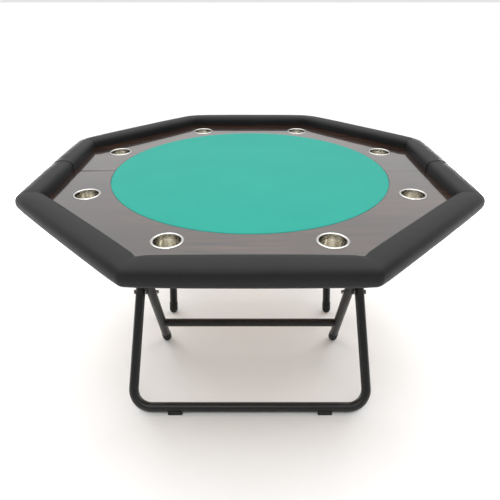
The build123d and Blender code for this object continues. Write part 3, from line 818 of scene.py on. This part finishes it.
def painted_seam_shade():
    """A dark sheet on the end of the front racetrack on the left: painted shade where the halves stand
    slightly open, widest at the rail and narrowing to the felt.
    """
    rail_end = -(RAIL_INNER - 1.0 * MM)
    felt_end = -(FELT_RADIUS + 2.0 * MM)
    count = SEAM_SHADE_STEPS
    near, above, below = -SEAM_CLEARANCE, 0.06, -0.4
    vertices, faces = [], []
    for i in range(count + 1):
        t = i / count
        x = rail_end + (felt_end - rail_end) * t
        far = near - (SEAM_SHADE_NARROW + SEAM_SHADE_SPREAD * (1 - t) ** 1.5)
        for y, z in ((near, above), (far, above + 0.04), (far - 0.1 * MM, below), (near, below)):
            vertices.append((x, y, TRACK_TOP + z * MM))
    for i in range(count):
        for k in range(4):
            a, b = i * 4 + k, i * 4 + (k + 1) % 4
            faces.append([a, b, b + 4, a + 4])
    faces.append([0, 1, 2, 3])
    faces.append([count * 4 + k for k in range(4)])
    # The sheet's dark colour is painted shade, its tone varied a little by the noise, which also
    # roughens it.
    g = Graph("seam_painted_shade_material")
    wear = g.noise(g.place((1, 8, 8)), 60, detail=4)
    painted_shade_colour = g.mix(g.spread(wear, 0.35, 0.7), (0.010, 0.004, 0.0025), (0.030, 0.014, 0.008))
    material = g.surface(painted_shade_colour, 0.7, g.bump(wear, 0.4, 0.1 * MM), Specular_IOR_Level=0.1)
    new_piece("front_seam_painted_shade", vertices, faces, material, "front_half", smooth=False)


# ---------------------------------------------------------------- stage, light and camera

FLOOR_HALF_WIDTH = 60
SURROUND_STRENGTH = 2.65
SIDE_SPREAD = (-0.40, 0.55, 0.38, 1.0)
CLIMB_FROM, CLIMB_TO = 0.30, 0.95
CLIMB = ((0.26, 0.35), (0.50, 0.47), (0.75, 0.72))
LENS = 32.0
EYE = (0, -1.469, 1.2226)
LOOKING_DOWN = 30.26

def stage_floor():
    """A plain white studio floor."""
    g = Graph("studio_floor")
    mottling = g.noise(g.place(), 0.6, detail=2)
    white = g.mix(g.spread(mottling, 0.3, 0.7), (0.89, 0.89, 0.89), (0.91, 0.91, 0.91))
    material = g.surface(white, 0.9, Specular_IOR_Level=0.1)
    mesh = bpy.data.meshes.new("studio_floor")
    edge = FLOOR_HALF_WIDTH
    corners = [(-edge, -edge, 0), (edge, -edge, 0), (edge, edge, 0), (-edge, edge, 0)]
    mesh.from_pydata(corners, [], [(0, 1, 2, 3)])
    floor = bpy.data.objects.new("studio_floor", mesh)
    bpy.context.collection.objects.link(floor)
    mesh.materials.append(material)


def studio_world():
    """White surroundings: brightest overhead, softer behind the table and dim in front of it."""
    world = bpy.data.worlds.new("studio")
    bpy.context.scene.world = world
    world.use_nodes = True
    tree = world.node_tree
    background = tree.nodes["Background"]
    direction = tree.nodes.new("ShaderNodeTexCoord")
    parts = tree.nodes.new("ShaderNodeSeparateXYZ")
    tree.links.new(direction.outputs["Generated"], parts.inputs["Vector"])
    backwards = tree.nodes.new("ShaderNodeMapRange")
    backwards.interpolation_type = "SMOOTHSTEP"
    for socket, number in zip(RANGE_SOCKETS, SIDE_SPREAD):
        backwards.inputs[socket].default_value = number
    tree.links.new(parts.outputs["Y"], backwards.inputs["Value"])
    climb = tree.nodes.new("ShaderNodeFloatCurve")
    curve = climb.mapping.curves[0]
    for height, level in CLIMB:
        curve.points.new(height, level)
    curve.points[0].location = (0, CLIMB_FROM)
    curve.points[-1].location = (1, CLIMB_TO)
    climb.mapping.update()
    tree.links.new(parts.outputs["Z"], climb.inputs["Value"])
    brightness = tree.nodes.new("ShaderNodeMath")
    brightness.operation = "MULTIPLY"
    tree.links.new(backwards.outputs["Result"], brightness.inputs[0])
    tree.links.new(climb.outputs["Value"], brightness.inputs[1])
    strength = tree.nodes.new("ShaderNodeMath")
    strength.operation = "MULTIPLY"
    tree.links.new(brightness.outputs["Value"], strength.inputs[0])
    strength.inputs[1].default_value = SURROUND_STRENGTH
    tree.links.new(strength.outputs["Value"], background.inputs["Strength"])
    background.inputs["Color"].default_value = (1, 1, 1, 1)


def soft_box(name, place, target, width, height, power):
    """A rectangular diffuser that faces the target."""
    data = bpy.data.lights.new(name, "AREA")
    data.shape = "RECTANGLE"
    data.size = width
    data.size_y = height
    data.energy = power
    light = bpy.data.objects.new(name, data)
    light.location = place
    light.rotation_euler = (Vector(target) - Vector(place)).to_track_quat("-Z", "Y").to_euler()
    bpy.context.collection.objects.link(light)


def camera():
    """A camera in front of the table, looking down at it over the front rail."""
    data = bpy.data.cameras.new("camera")
    data.sensor_width = 36
    data.lens = LENS
    data.clip_end = 200
    eye = bpy.data.objects.new("camera", data)
    eye.location = EYE
    eye.rotation_euler = (math.radians(90 - LOOKING_DOWN), 0, 0)
    bpy.context.collection.objects.link(eye)
    bpy.context.scene.camera = eye


camera()
bpy.context.scene.view_settings.view_transform = "Standard"
stage_floor()
studio_world()
soft_box("overhead_strip", (0, -0.15, 2.5), (0, -0.15, 0), 3.6, 2.8, 32)
soft_box("front_key", (-0.25, -1.75, 2.7), (0, -0.2, 0.7), 1.3, 0.45, 9)
for side in (-1, 1):
    soft_box("floor_light", (side * 1.9, 1.7, 0.42), (0, -0.1, 0), 1.6, 0.6, 44)
dress_cad_nodes()
for half in HALVES:
    rail_cover(half)
    for number in range(1, 5):
        cup_pieces(half, number)
    weld_beads(half)
    staples(half)
felt_sheet()
painted_seam_shade()
